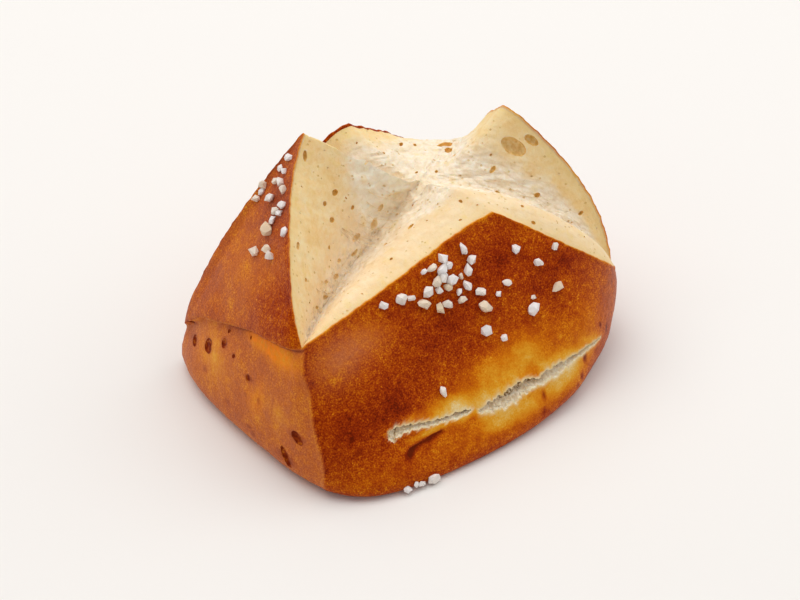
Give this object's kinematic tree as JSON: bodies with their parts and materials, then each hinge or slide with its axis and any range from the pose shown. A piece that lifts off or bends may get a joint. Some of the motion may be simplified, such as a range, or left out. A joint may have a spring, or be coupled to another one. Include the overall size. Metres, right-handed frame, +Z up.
{
  "type": "pretzel roll",
  "caption": "Baked pretzel roll, long and domed, its brown crust cut crosswise into pointed petals that open round pale crumb, with a side split and coarse salt.",
  "frame": {"origin": "middle of the roll's box, on the table under its foot", "axes": "+X along the roll's long side, to the end with the tall crumb face; +Y to the back; -Y is the long side with the split; +Z up"},
  "size_m": [0.099, 0.0738, 0.062],
  "materials": {
    "crust": "satin brown lye crust, with pale matt crumb in the cuts and off-white salt"
  },
  "bodies": {
    "root": {"pretzel_roll": "crust"}
  },
  "joints": []
}
